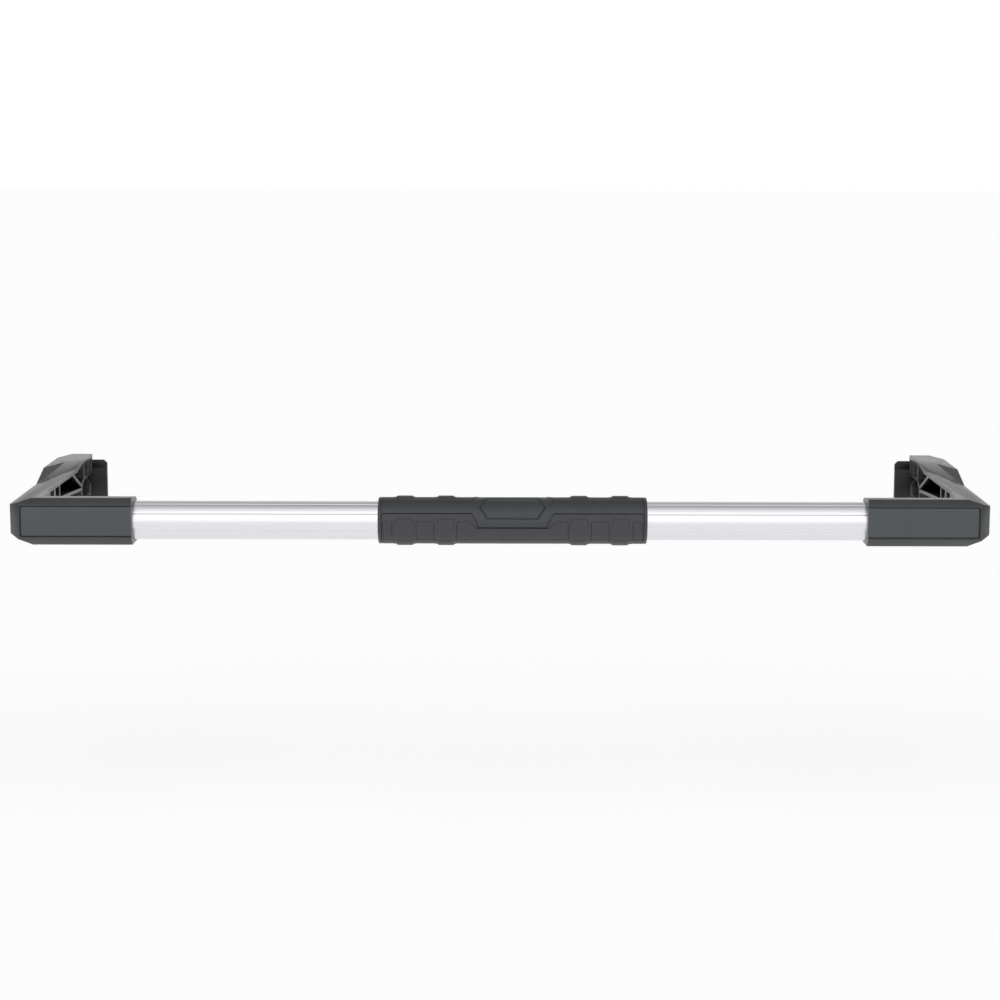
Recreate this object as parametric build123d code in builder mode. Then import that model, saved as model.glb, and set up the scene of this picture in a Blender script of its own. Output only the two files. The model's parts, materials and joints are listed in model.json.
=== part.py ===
"""Swing-up carry bar for a stacking tool case.

An aluminium tube carries a two-part moulded grip. Its ends sit in two moulded corners, whose ribbed arms run
back to a pair of wall brackets. Each arm turns on a pin in its bracket, so the bar swings up to level, where
the arms stop against the brackets, and down flat to the wall.

X runs along the bar, +Y points back to the wall, +Z is up. The origin is under the middle of the outer box,
on the plane that the part lies on. The right-hand pieces are modelled, and the left-hand ones mirror them.
"""

import os
from math import cos, radians, sin

from build123d import *

os.makedirs("parts", exist_ok=True)

# Overall sizes, mm
overall_width = 552.0     # over the outer faces of the arms
arm_length = 166.0        # front face of a corner to the rear face of its arm
corner_length = 69.0      # outer face to the mouth of the tube socket
arm_width = 18.5          # outer face to the open inner side, at the rear
arm_taper = 2.0           # how much narrower the arm is where it leaves the corner

# Bar tube
tube_diameter = 22.0
tube_wall = 1.5
tube_end_inset = 12.0     # outer face to the end of the tube
flute_angles = (29.0, 62.0)        # flutes lie these far above and below the level, front and back
flute_width = 1.2
flute_depth = 0.35
socket_clearance = 0.05

# Section of corners and arms, as heights over the tube's surface
top_wall = 3.2
bottom_wall = 1.65
front_wall = 4.0
back_wall = 3.0
face_top_drop = 3.4       # top of the section down to the top of the front face
face_bottom_rise = 4.65
outer_top_drop = 3.9      # top of the section down to the top of the outer face
outer_bottom_rise = 6.35
shoulder_width = 12.7     # width of the sloped shoulders along the outer face
corner_cut = 6.1          # chamfer on the corner's upright front edge
top_flat = 6.0            # flat on top of the tube socket
bottom_flat = 6.6         # flat under the tube socket, behind the bar axis

# Channel and ribs of the arm
outer_wall = 3.0
flange = 2.2
rear_wall = 2.4
rib = 1.9
front_ribs = (38.0, 65.0)          # plain upright ribs, from the front face
fork_apex = 51.0                   # pair of ribs that meet under the top flange
fork_spread = 6.5
low_brace_front = 62.0
low_brace_rise = 4.5
low_brace_end = -0.3               # where it meets the leg, over the bar axis
brace_to_pin = 51.0                # long brace's top end, in front of the pin
leg_to_pin = 20.0                  # upright leg that the braces meet
leg_joint_height = 1.3
shelf_to_pin = 12.0
shelf_height = 5.2                 # middle of the shelf over the bar axis
top_bay_rib_behind_pin = 3.0

# Hub on the arm's rear top
hub_height = 16.8         # over the bar axis
hub_foot_run = 85.0       # from the rear face to where its outer edge starts to rise
hub_full_run = 62.0       # and to where its outer edge is at full height
hub_middle_foot_run = 71.0
hub_middle_full_run = 38.0
hub_inner_foot_run = 48.0
hub_inner_full_run = 34.0
hub_middle_inset = 12.0
hub_middle_top_inset = 8.0
rear_corner_length = 18.0
rear_corner_cut = 6.0

# Pivot
pivot_to_rear = 15.0      # pin axis to the arm's rear face
pivot_drop = 3.0          # pin axis under the bar axis
pin_diameter = 8.0
pin_running_clearance = 0.05
pin_end_gap = 0.6
boss_reach = 8.3          # outer face to the inner end of the bearing boss
boss_wall = 3.0
bush_wall = 1.5
bush_floor = 2.6
collar_step = 2.5         # collar and washer over the pin, in radius
collar_thickness = 0.8
side_play = 0.2
washer_thickness = 0.8
clip_thickness = 0.8
clip_step = 1.5           # clip over the pin, in radius
clip_groove_depth = 0.8
clip_mouth = 5.1          # gap that snaps over the pin's groove
pin_tail = 1.2
sweep_clearance = 1.0

# Wall bracket
ear_recess = 1.7          # ear's inner face inside the arm's open side
ear_wall = 2.5            # round the pin
neck_height = 10.0
stop_gap = 0.4            # arm's rear face to the bracket at rest
plate_thickness = 4.0
plate_outer_inset = 1.5
plate_overhang = 8.7      # plate past the arm's open side
plate_top = 12.6          # over the bar axis
plate_step = 7.8          # ledge across the front, over the bar axis
plate_ledge = 1.6
plate_corner = 2.0
screw_spacing = 15.0
pilot_diameter = 4.2
pilot_depth = 7.0
screw_boss_diameter = 9.0
screw_boss_height = 4.0

# Corner cover and the screws under it
cover_thickness = 1.5
cover_gap = 0.35
cover_margin = 0.6
cover_end_inset = 0.15    # cover's open end inside the mouth of the tube socket
cover_radius = 1.4
cover_edge = 0.4
peg_diameter = 3.0
peg_length = 3.0
peg_inset = 20.0          # outer face to the outer peg
peg_end_inset = 8.2       # mouth of the socket to the inner peg
peg_drop = 3.4            # top of the front face to the pegs
screw_inset = 30.0
screw_end_inset = 18.2
screw_diameter = 3.5
screw_head_diameter = 6.4
screw_head_height = 1.7
screw_length = 11.5
screw_hole_clearance = 0.1

# Plug in each end of the tube
plug_inset = 1.0          # end of the tube to the end of the plug
plug_short = 11.2         # inner end of the plug to the mouth of the socket
plug_bore = 6.0
plug_clearance = 0.05
plug_edge = 0.8

# Grip
grip_length = 151.8
grip_shift = 7.3          # grip middle to the right of the bar's middle
grip_tilt = 45.0          # the grip's hard face looks this far above the level
grip_clearance = 0.05
grip_core = 1.15          # hard shell under the soft pads
pad_thickness = 1.15
pad_rise = 0.75           # raised blocks over the pads
lip_length = 2.0
band_half_height = 4.2
shield_half_height = 10.8
shield_half_width = 19.1
shield_shoulder = 4.1
hard_face_drop = 0.1      # hard band under the pads' surface
badge_half_width = 18.4
badge_half_height = 6.9
badge_corner = 4.2
badge_recess = 0.35
badge_thickness = 0.5
joint_gap = 0.1
block_starts = (11.8, 35.6)        # raised blocks, from each end of the grip
block_length = 10.0
block_offset = 7.0                 # from the hard face's middle line
lock_screw_inset = 9.0
lock_screw_diameter = 3.0
lock_screw_head = 5.0

# Worked-out sizes
half_width = overall_width / 2
tube_radius = tube_diameter / 2
socket_radius = tube_radius + socket_clearance
section_top = tube_radius + top_wall
section_bottom = -tube_radius - bottom_wall
face_top = section_top - face_top_drop
face_bottom = section_bottom + face_bottom_rise
outer_top = section_top - outer_top_drop
outer_bottom = section_bottom + outer_bottom_rise
bar_setback = front_wall + tube_radius
socket_back = bar_setback + tube_radius + back_wall
sleeve_end = half_width - corner_length
arm_inner = half_width - arm_width
shoulder = half_width - shoulder_width
pivot_back = arm_length - pivot_to_rear
plate_front = arm_length + stop_gap
plate_back = plate_front + plate_thickness
overall_depth = plate_back + screw_boss_height
core_radius = tube_radius + grip_clearance + grip_core
pad_radius = core_radius + pad_thickness
block_radius = pad_radius + pad_rise
hard_radius = pad_radius - hard_face_drop
bar_height = block_radius
pin_radius = pin_diameter / 2
ear_outer = half_width - boss_reach - side_play - collar_thickness
ear_inner = arm_inner + ear_recess
ear_thickness = ear_outer - ear_inner
bush_radius = pin_radius + bush_wall
collar_radius = pin_radius + collar_step
groove_radius = pin_radius - clip_groove_depth
shelf_under = shelf_height - rib / 2
mouth = 1.0               # how far a cutter starts outside what it opens
deep = 3 * tube_diameter  # a cut or block that reaches past the section

# Planes whose origin is the front face at the height of the bar axis
origin = (0, -overall_depth / 2, bar_height)
side = Plane(origin=origin, x_dir=(0, 1, 0), z_dir=(1, 0, 0))     # sketch x runs back, sketch y up
front = Plane(origin=origin, x_dir=(1, 0, 0), z_dir=(0, -1, 0))   # sketch x runs right, sketch y up
plan = Plane(origin=origin, x_dir=(1, 0, 0), z_dir=(0, 0, 1))     # sketch x runs right, sketch y back
bar_axis = Axis((0, bar_setback - overall_depth / 2, bar_height), (1, 0, 0))
grip_face = Plane(
    origin=(grip_shift, bar_axis.position.Y, bar_height),
    x_dir=(1, 0, 0),
    z_dir=(0, -cos(radians(grip_tilt)), sin(radians(grip_tilt))),
)


def outline(*points):
    """Closed straight-sided face through the points, in the sketch's own coordinates."""
    Polygon(*points, align=None)


def bar_between(start, end, width):
    """Straight rib of the given width from one point to another, in the sketch's own coordinates."""
    run = Vector(*end) - Vector(*start)
    middle = (Vector(*start) + Vector(*end)) / 2
    angle = Vector(1, 0).get_signed_angle(run, Vector(0, 0, 1))
    with Locations((middle.X, middle.Y)):
        Rectangle(run.length, width, rotation=angle)


def faceted_solid(corners, faces):
    """Solid with flat faces, each given by the names of its corners."""
    skins = [Face(Wire.make_polygon([corners[name] for name in face.split()], close=True)) for face in faces]
    return Solid(Shell(skins))


def hub_corner(x, back, height):
    """Point in the part's frame from a distance right, behind the front face and over the bar axis."""
    return Vector(x, back - overall_depth / 2, height + bar_height)


def save(piece, name):
    """Label a finished piece and write it under its node name."""
    piece.label = name
    export_step(piece, f"parts/{name}.step")


def save_pair(piece, name):
    """Write a right-hand piece and its mirror image as the left-hand one."""
    save(piece, f"right_{name}")
    save(mirror(piece, about=Plane.YZ), f"left_{name}")


# Arm with the tube socket in its corner
with BuildPart() as socket_block:
    with BuildSketch(side.offset(sleeve_end)):
        outline(
            (0, face_bottom),
            (0, face_top),
            (face_top_drop, section_top),
            (face_top_drop + top_flat, section_top),
            (bar_setback + tube_radius / 2, section_top - top_wall / 2),
            (socket_back, tube_radius / 2),
            (socket_back, -tube_radius / 2),
            (bar_setback + bottom_flat, section_bottom),
            (face_bottom_rise, section_bottom),
        )
    extrude(amount=corner_length)
    with BuildSketch(front.offset(mouth)):
        outline(
            (sleeve_end, section_bottom),
            (shoulder, section_bottom),
            (half_width, outer_bottom),
            (half_width, outer_top),
            (shoulder, section_top),
            (sleeve_end, section_top),
        )
    extrude(amount=-deep, mode=Mode.INTERSECT)

hub_points = {
    "foot": hub_corner(half_width, arm_length - hub_foot_run, outer_top),
    "middle": hub_corner(half_width - hub_middle_inset, arm_length - hub_middle_foot_run, section_top),
    "inner": hub_corner(arm_inner, arm_length - hub_inner_foot_run, section_top),
    "top": hub_corner(half_width, arm_length - hub_full_run, hub_height),
    "top_middle": hub_corner(half_width - hub_middle_top_inset, arm_length - hub_middle_full_run, hub_height),
    "top_inner": hub_corner(arm_inner, arm_length - hub_inner_full_run, hub_height),
    "top_rear_inner": hub_corner(arm_inner, arm_length, hub_height),
    "top_rear": hub_corner(half_width, arm_length, hub_height),
    "low_foot": hub_corner(half_width, arm_length - hub_foot_run, 0),
    "low_middle": hub_corner(half_width - hub_middle_inset, arm_length - hub_middle_foot_run, 0),
    "low_inner": hub_corner(arm_inner, arm_length - hub_inner_foot_run, 0),
    "low_rear_inner": hub_corner(arm_inner, arm_length, 0),
    "low_rear": hub_corner(half_width, arm_length, 0),
}
hub = faceted_solid(
    hub_points,
    (
        "low_foot low_middle low_inner low_rear_inner low_rear",
        "top top_middle top_inner top_rear_inner top_rear",
        "low_foot foot top top_rear low_rear",
        "low_rear top_rear top_rear_inner low_rear_inner",
        "low_rear_inner top_rear_inner top_inner inner low_inner",
        "low_foot low_middle middle foot",
        "low_middle low_inner inner middle",
        "foot middle top_middle",
        "foot top_middle top",
        "middle inner top_inner",
        "middle top_inner top_middle",
    ),
)

channel_outline = (
    (arm_inner - mouth, section_top - flange),
    (shoulder, section_top - flange),
    (half_width - outer_wall, outer_top - outer_wall / 2),
    (half_width - outer_wall, outer_bottom + outer_wall / 2),
    (shoulder, section_bottom + flange),
    (arm_inner - mouth, section_bottom + flange),
)
channel_front = socket_back + flange
channel_back = arm_length - rear_wall

with BuildPart() as right_ribs:
    rib_top = section_top
    rib_bottom = section_bottom
    leg_back = pivot_back - leg_to_pin
    leg_joint = (leg_back, leg_joint_height)
    shelf_joint = (pivot_back - shelf_to_pin, shelf_height)
    top_bay_rib = pivot_back + top_bay_rib_behind_pin
    with BuildSketch(side.offset(arm_inner)):
        for distance in front_ribs:
            bar_between((distance, rib_bottom), (distance, rib_top), rib)
        for foot in (fork_apex - fork_spread, fork_apex + fork_spread):
            bar_between((foot, rib_bottom), (fork_apex, rib_top), rib)
        bar_between((pivot_back - brace_to_pin, rib_top), leg_joint, rib)
        bar_between((low_brace_front, low_brace_rise), (leg_back, low_brace_end), rib)
        bar_between((leg_back, rib_bottom), leg_joint, rib)
        bar_between(leg_joint, shelf_joint, rib)
        bar_between(shelf_joint, (shelf_joint[0], rib_top), rib)
        bar_between(shelf_joint, (arm_length, shelf_height), rib)
        bar_between((top_bay_rib, shelf_height), (top_bay_rib, rib_top), rib)
        for joint in (leg_joint, shelf_joint):
            with Locations(joint):
                Circle(rib / 2)
    extrude(amount=arm_width)
    with BuildSketch(front.offset(-channel_front)):
        outline(*channel_outline)
    extrude(amount=-(channel_back - channel_front), mode=Mode.INTERSECT)
    with BuildSketch(side.offset(arm_inner)):
        with Locations((arm_length / 2, 0)):
            Rectangle(arm_length, deep)
    extrude(amount=arm_width, mode=Mode.INTERSECT)

pivot_on_side = (pivot_back, -pivot_drop)
screw_row = [half_width - screw_inset, sleeve_end + screw_end_inset]
peg_row = [(half_width - peg_inset, face_top - peg_drop), (sleeve_end + peg_end_inset, face_top - peg_drop)]
face_middle = (face_top + face_bottom) / 2
recess_outer = half_width - corner_cut - cover_gap
recess_height = face_top - face_bottom - 2 * cover_margin
recess_length = recess_outer - sleeve_end + cover_radius + mouth

with BuildPart() as right_arm:
    add(socket_block.part)
    with BuildSketch(front.offset(-corner_cut)):
        outline(
            (arm_inner, section_bottom),
            (shoulder, section_bottom),
            (half_width, outer_bottom),
            (half_width, outer_top),
            (shoulder, section_top),
            (arm_inner, section_top),
        )
    extrude(amount=-(arm_length - corner_cut))
    add(hub)
    # open channel between the flanges, higher under the hub
    with BuildSketch(front.offset(-channel_front)):
        outline(*channel_outline)
    extrude(amount=-(channel_back - channel_front), mode=Mode.SUBTRACT)
    with BuildSketch(side.offset(arm_inner - mouth)):
        outline(
            (arm_length - hub_inner_foot_run, section_top - flange - mouth),
            (arm_length - hub_inner_foot_run, section_top - flange),
            (arm_length - hub_inner_full_run, hub_height - flange),
            (channel_back, hub_height - flange),
            (channel_back, section_top - flange - mouth),
        )
    extrude(amount=arm_width + mouth - 2 * outer_wall, mode=Mode.SUBTRACT)
    add(right_ribs.part)
    with BuildSketch(side.offset(arm_inner)):
        for distance in (shelf_joint[0], top_bay_rib):
            bar_between((distance, section_top - 2 * flange), (distance, hub_height - flange / 2), rib)
    extrude(amount=arm_width - outer_wall)
    # bearing boss, and the wall that follows the rear corner
    with BuildSketch(side.offset(half_width - boss_reach)):
        with Locations(pivot_on_side):
            Circle(bush_radius + boss_wall)
    extrude(amount=boss_reach - outer_wall / 2)
    with BuildSketch(plan.offset(outer_bottom)):
        outline(
            (half_width - outer_wall / 2, arm_length - rear_corner_length - outer_wall),
            (half_width - outer_wall, arm_length - rear_corner_length - outer_wall),
            (half_width - rear_corner_cut - 0.8 * outer_wall, arm_length),
            (half_width - outer_wall / 2, arm_length),
        )
    extrude(amount=outer_top - outer_bottom)
    # way for the bracket's neck, from level down to straight below
    neck_way = pivot_back - neck_height / 2 - sweep_clearance
    with BuildSketch(side.offset(arm_inner - mouth)):
        outline(
            (neck_way, section_bottom - mouth),
            (neck_way, shelf_under),
            (arm_length + mouth, shelf_under),
            (arm_length + mouth, section_bottom - mouth),
        )
    extrude(amount=arm_width + mouth - boss_reach, mode=Mode.SUBTRACT)
    with BuildSketch(side.offset(arm_inner - mouth)):
        outline(
            (neck_way, section_bottom - mouth),
            (neck_way, section_bottom + flange),
            (arm_length + mouth, section_bottom + flange),
            (arm_length + mouth, section_bottom - mouth),
        )
    extrude(amount=arm_width + mouth - outer_wall, mode=Mode.SUBTRACT)
    # rear lower corner, round about the pin
    with BuildSketch(side.offset(arm_inner - mouth)):
        with Locations((pivot_back + deep / 2, -pivot_drop - deep / 2)):
            Rectangle(deep, deep)
        with Locations(pivot_on_side):
            Circle(pivot_to_rear, mode=Mode.SUBTRACT)
    extrude(amount=arm_width + 2 * mouth, mode=Mode.SUBTRACT)
    # slant of the open side, from the corner to the rear
    with BuildSketch(plan.offset(-deep / 2)):
        outline(
            (arm_inner - mouth, socket_back),
            (arm_inner + arm_taper, socket_back),
            (arm_inner, arm_length),
            (arm_inner - mouth, arm_length),
        )
    extrude(amount=deep, mode=Mode.SUBTRACT)
    # upright corners, front and rear
    with BuildSketch(plan.offset(-deep / 2)):
        outline(
            (half_width - corner_cut, 0),
            (half_width, corner_cut),
            (half_width + mouth, corner_cut),
            (half_width + mouth, -mouth),
            (half_width - corner_cut, -mouth),
        )
        outline(
            (half_width, arm_length - rear_corner_length),
            (half_width - rear_corner_cut, arm_length),
            (half_width - rear_corner_cut, arm_length + mouth),
            (half_width + mouth, arm_length + mouth),
            (half_width + mouth, arm_length - rear_corner_length),
        )
    extrude(amount=deep, mode=Mode.SUBTRACT)
    # tube socket and bush seat
    with BuildSketch(side.offset(sleeve_end - mouth)):
        with Locations((bar_setback, 0)):
            Circle(socket_radius)
    extrude(amount=corner_length - tube_end_inset + mouth, mode=Mode.SUBTRACT)
    with BuildSketch(side.offset(half_width - bush_floor)):
        with Locations(pivot_on_side):
            Circle(bush_radius)
    extrude(amount=-deep / 2, mode=Mode.SUBTRACT)
    # recess for the cover, open at the mouth, its peg holes and the screw holes
    with BuildSketch(front):
        with Locations((recess_outer - recess_length / 2, face_middle)):
            RectangleRounded(recess_length, recess_height, cover_radius)
    extrude(amount=-cover_thickness, mode=Mode.SUBTRACT)
    with BuildSketch(front):
        with Locations(*peg_row):
            Circle(peg_diameter / 2)
    extrude(amount=-cover_thickness - peg_length, mode=Mode.SUBTRACT)
    with BuildSketch(front):
        with Locations(*[(x, 0) for x in screw_row]):
            Circle(screw_diameter / 2 + screw_hole_clearance)
    extrude(amount=-bar_setback, mode=Mode.SUBTRACT)
    for x in screw_row:
        with BuildSketch(front.offset(-cover_thickness)):
            with Locations((x, 0)):
                Circle(screw_head_diameter / 2)
        with BuildSketch(front.offset(-cover_thickness - screw_head_height)):
            with Locations((x, 0)):
                Circle(screw_diameter / 2)
        loft(mode=Mode.SUBTRACT)
save_pair(right_arm.part, "arm")

with BuildPart() as right_corner_cover:
    cover_height = recess_height - 2 * cover_gap
    with BuildSketch(front):
        with Locations((recess_outer - cover_gap - recess_length / 2, face_middle)):
            RectangleRounded(recess_length, cover_height, cover_radius - cover_gap)
        with Locations((sleeve_end + cover_end_inset + corner_length / 2, face_middle)):
            Rectangle(corner_length, cover_height, mode=Mode.INTERSECT)
    extrude(amount=-cover_thickness)
    fillet(right_corner_cover.faces().sort_by(Axis.Y)[0].edges(), cover_edge)
    with BuildSketch(front.offset(-cover_thickness)):
        with Locations(*peg_row):
            Circle(peg_diameter / 2)
    extrude(amount=-peg_length)
save_pair(right_corner_cover.part, "corner_cover")

with BuildPart() as right_tube_screws:
    for x in screw_row:
        with BuildSketch(front.offset(-cover_thickness)):
            with Locations((x, 0)):
                Circle(screw_head_diameter / 2)
        with BuildSketch(front.offset(-cover_thickness - screw_head_height)):
            with Locations((x, 0)):
                Circle(screw_diameter / 2)
        loft()
        with BuildSketch(front.offset(-cover_thickness - screw_head_height)):
            with Locations((x, 0)):
                Circle(screw_diameter / 2)
        extrude(amount=-(screw_length - screw_head_height))
        with BuildSketch(front.offset(-cover_thickness)):
            with Locations((x, 0)):
                Rectangle(screw_diameter, screw_diameter / 4)
                Rectangle(screw_diameter / 4, screw_diameter)
        extrude(amount=-screw_head_height / 2, mode=Mode.SUBTRACT)
save_pair(right_tube_screws.part, "tube_screws")

# Bar tube, with shallow flutes and the screw holes
with BuildPart() as bar_tube:
    with BuildSketch(side.offset(-half_width + tube_end_inset)):
        with Locations((bar_setback, 0)):
            Circle(tube_radius)
            Circle(tube_radius - tube_wall, mode=Mode.SUBTRACT)
            for angle in flute_angles:
                for start in (angle, 180 - angle, 180 + angle, -angle):
                    with PolarLocations(tube_radius, 1, start_angle=start):
                        Rectangle(2 * flute_depth, flute_width, mode=Mode.SUBTRACT)
    extrude(amount=overall_width - 2 * tube_end_inset)
    with BuildSketch(front):
        with Locations(*[(sign * x, 0) for sign in (-1, 1) for x in screw_row]):
            Circle(screw_diameter / 2 + screw_hole_clearance)
    extrude(amount=-bar_setback, mode=Mode.SUBTRACT)
    with BuildSketch(grip_face):
        with Locations((grip_length / 2 - lock_screw_inset, 0), (lock_screw_inset - grip_length / 2, 0)):
            Circle(lock_screw_diameter / 2 + screw_hole_clearance)
    extrude(amount=-tube_diameter, mode=Mode.SUBTRACT)
save(bar_tube.part, "bar_tube")

with BuildPart() as right_tube_plug:
    with BuildSketch(side.offset(half_width - tube_end_inset - plug_inset)):
        with Locations((bar_setback, 0)):
            Circle(tube_radius - tube_wall - plug_clearance)
            Circle(plug_bore / 2, mode=Mode.SUBTRACT)
    extrude(amount=-(corner_length - tube_end_inset - plug_inset - plug_short))
    chamfer(right_tube_plug.edges().filter_by(GeomType.CIRCLE).group_by(SortBy.RADIUS)[-1], plug_edge)
    with BuildSketch(front):
        with Locations(*[(x, 0) for x in screw_row]):
            Circle(screw_diameter / 2)
    extrude(amount=-bar_setback, mode=Mode.SUBTRACT)
save_pair(right_tube_plug.part, "tube_plug")

# Pivot: pin, bush, washer and clip
with BuildPart() as right_pivot_bush:
    with BuildSketch(side.offset(half_width - boss_reach)):
        with Locations(pivot_on_side):
            Circle(bush_radius)
            Circle(pin_radius + pin_running_clearance, mode=Mode.SUBTRACT)
    extrude(amount=boss_reach - bush_floor)
save_pair(right_pivot_bush.part, "pivot_bush")

groove_end = ear_inner - washer_thickness
with BuildPart() as right_pivot_pin:
    with BuildSketch(side.offset(groove_end - clip_thickness - pin_tail)):
        with Locations(pivot_on_side):
            Circle(pin_radius)
    extrude(amount=half_width - bush_floor - pin_end_gap - (groove_end - clip_thickness - pin_tail))
    chamfer(right_pivot_pin.edges().filter_by(GeomType.CIRCLE), pin_tail / 3)
    with BuildSketch(side.offset(ear_outer)):
        with Locations(pivot_on_side):
            Circle(collar_radius)
    extrude(amount=collar_thickness)
    with BuildSketch(side.offset(groove_end)):
        with Locations(pivot_on_side):
            Circle(pin_diameter)
            Circle(groove_radius, mode=Mode.SUBTRACT)
    extrude(amount=-clip_thickness, mode=Mode.SUBTRACT)
save_pair(right_pivot_pin.part, "pivot_pin")

with BuildPart() as right_pin_washer:
    with BuildSketch(side.offset(groove_end)):
        with Locations(pivot_on_side):
            Circle(collar_radius)
            Circle(pin_radius, mode=Mode.SUBTRACT)
    extrude(amount=washer_thickness)
save_pair(right_pin_washer.part, "pin_washer")

with BuildPart() as right_pin_clip:
    with BuildSketch(side.offset(groove_end - clip_thickness)):
        with Locations(pivot_on_side):
            Circle(pin_radius + clip_step)
            Circle(groove_radius, mode=Mode.SUBTRACT)
        with Locations((pivot_back, -pivot_drop - pin_diameter)):
            Rectangle(clip_mouth, 2 * pin_diameter, mode=Mode.SUBTRACT)
    extrude(amount=clip_thickness)
save_pair(right_pin_clip.part, "pin_clip")

# Wall bracket: plate, neck and ear, and two screw bosses through the wall
plate_bottom = -bar_height
plate_outer = half_width - plate_outer_inset
plate_inner = arm_inner - plate_overhang
screw_column = (plate_outer + plate_inner) / 2
boss_middle = (plate_top + plate_bottom) / 2
with BuildPart() as right_bracket:
    with BuildSketch(front.offset(-plate_front)):
        outline(
            (plate_outer, plate_bottom),
            (plate_inner, plate_bottom),
            (plate_inner, plate_top - plate_corner),
            (plate_inner + plate_corner, plate_top),
            (plate_outer, plate_top),
        )
    extrude(amount=-plate_thickness)
    with BuildSketch(side.offset(plate_inner - mouth)):
        outline(
            (plate_front - mouth, plate_step),
            (plate_front + plate_ledge, plate_step),
            (plate_front + plate_ledge, plate_top + mouth),
            (plate_front - mouth, plate_top + mouth),
        )
    extrude(amount=deep, mode=Mode.SUBTRACT)
    with BuildSketch(side.offset(ear_inner)):
        with Locations(pivot_on_side):
            Circle(pin_radius + ear_wall)
        with Locations(((pivot_back + plate_front) / 2 + mouth / 2, -pivot_drop)):
            Rectangle(plate_front - pivot_back + mouth, neck_height)
    extrude(amount=ear_thickness)
    with BuildSketch(side.offset(ear_inner)):
        with Locations(pivot_on_side):
            Circle(pin_radius)
    extrude(amount=ear_thickness, mode=Mode.SUBTRACT)
    boss_spots = [(screw_column, boss_middle + sign * screw_spacing / 2) for sign in (-1, 1)]
    with BuildSketch(front.offset(-plate_back)):
        with Locations(*boss_spots):
            Circle(screw_boss_diameter / 2)
    extrude(amount=-screw_boss_height)
    with BuildSketch(front.offset(-overall_depth)):
        with Locations(*boss_spots):
            Circle(pilot_diameter / 2)
    extrude(amount=pilot_depth, mode=Mode.SUBTRACT)
save_pair(right_bracket.part, "bracket")

# Grip: hard half shells round the tube, soft pads on them, a blank badge and two lock screws
shell_bore = tube_radius + grip_clearance
half_grip = grip_length / 2
pad_end = half_grip - lip_length
grip_left = grip_shift - half_grip
face_points = [
    (pad_end, band_half_height),
    (shield_half_width + shield_shoulder, band_half_height),
    (shield_half_width, shield_half_height),
    (-shield_half_width, shield_half_height),
    (-shield_half_width - shield_shoulder, band_half_height),
    (-pad_end, band_half_height),
]
face_outline = face_points + [(x, -y) for x, y in reversed(face_points)]
badge_outline = (
    (badge_half_width, 0),
    (badge_half_width - badge_corner, badge_half_height),
    (badge_corner - badge_half_width, badge_half_height),
    (-badge_half_width, 0),
    (badge_corner - badge_half_width, -badge_half_height),
    (badge_half_width - badge_corner, -badge_half_height),
)


def ring(start, length, inner, outer):
    """Ring about the bar axis, between two radii, from a distance along the bar."""
    with BuildSketch(side.offset(start)) as profile:
        with Locations((bar_setback, 0)):
            Circle(outer)
            Circle(inner, mode=Mode.SUBTRACT)
    extrude(profile.sketch, amount=length)


def keep_half(towards):
    """Keep the half of the part on the hard face's side of the bar axis, or on the other side."""
    split(bisect_by=grip_face.offset(towards * joint_gap / 2), keep=Keep.TOP if towards > 0 else Keep.BOTTOM)


def raised_blocks():
    """Two raised blocks near each end, on both sides of the hard face's middle line."""
    with BuildPart(mode=Mode.PRIVATE) as blocks:
        for start in block_starts:
            for left in (start, grip_length - start - block_length):
                ring(grip_left + left, block_length, core_radius, block_radius)
        with BuildSketch(grip_face.offset(-deep / 2)) as middle_band:
            Rectangle(grip_length, 2 * block_offset)
        extrude(middle_band.sketch, amount=deep, mode=Mode.SUBTRACT)
    return blocks.part


with BuildPart() as hard_face:
    ring(grip_left + lip_length, grip_length - 2 * lip_length, shell_bore, hard_radius)
    with BuildSketch(grip_face):
        outline(*face_outline)
    extrude(amount=deep, mode=Mode.INTERSECT)

with BuildPart() as grip_front_shell:
    ring(grip_left, grip_length, shell_bore, core_radius)
    for start in (grip_left, grip_left + grip_length - lip_length):
        ring(start, lip_length, shell_bore, hard_radius)
    keep_half(1)
    add(hard_face.part)
    with BuildPart(mode=Mode.PRIVATE) as badge_space:
        ring(grip_left, grip_length, hard_radius - badge_recess - badge_thickness, hard_radius + mouth)
        with BuildSketch(grip_face):
            outline(*badge_outline)
        extrude(amount=deep, mode=Mode.INTERSECT)
    add(badge_space.part, mode=Mode.SUBTRACT)
save(grip_front_shell.part, "grip_front_shell")

with BuildPart() as grip_badge:
    ring(
        grip_left,
        grip_length,
        hard_radius - badge_recess - badge_thickness,
        hard_radius - badge_recess,
    )
    with BuildSketch(grip_face):
        outline(*badge_outline)
    extrude(amount=deep, mode=Mode.INTERSECT)
save(grip_badge.part, "grip_badge")

lock_spots = [(half_grip - lock_screw_inset, 0), (lock_screw_inset - half_grip, 0)]
with BuildPart() as grip_back_shell:
    ring(grip_left, grip_length, shell_bore, core_radius)
    for start in (grip_left, grip_left + grip_length - lip_length):
        ring(start, lip_length, shell_bore, hard_radius)
    keep_half(-1)
    with BuildSketch(grip_face):
        with Locations(*lock_spots):
            Circle(lock_screw_diameter / 2)
    extrude(amount=-deep / 2, mode=Mode.SUBTRACT)
save(grip_back_shell.part, "grip_back_shell")

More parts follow.
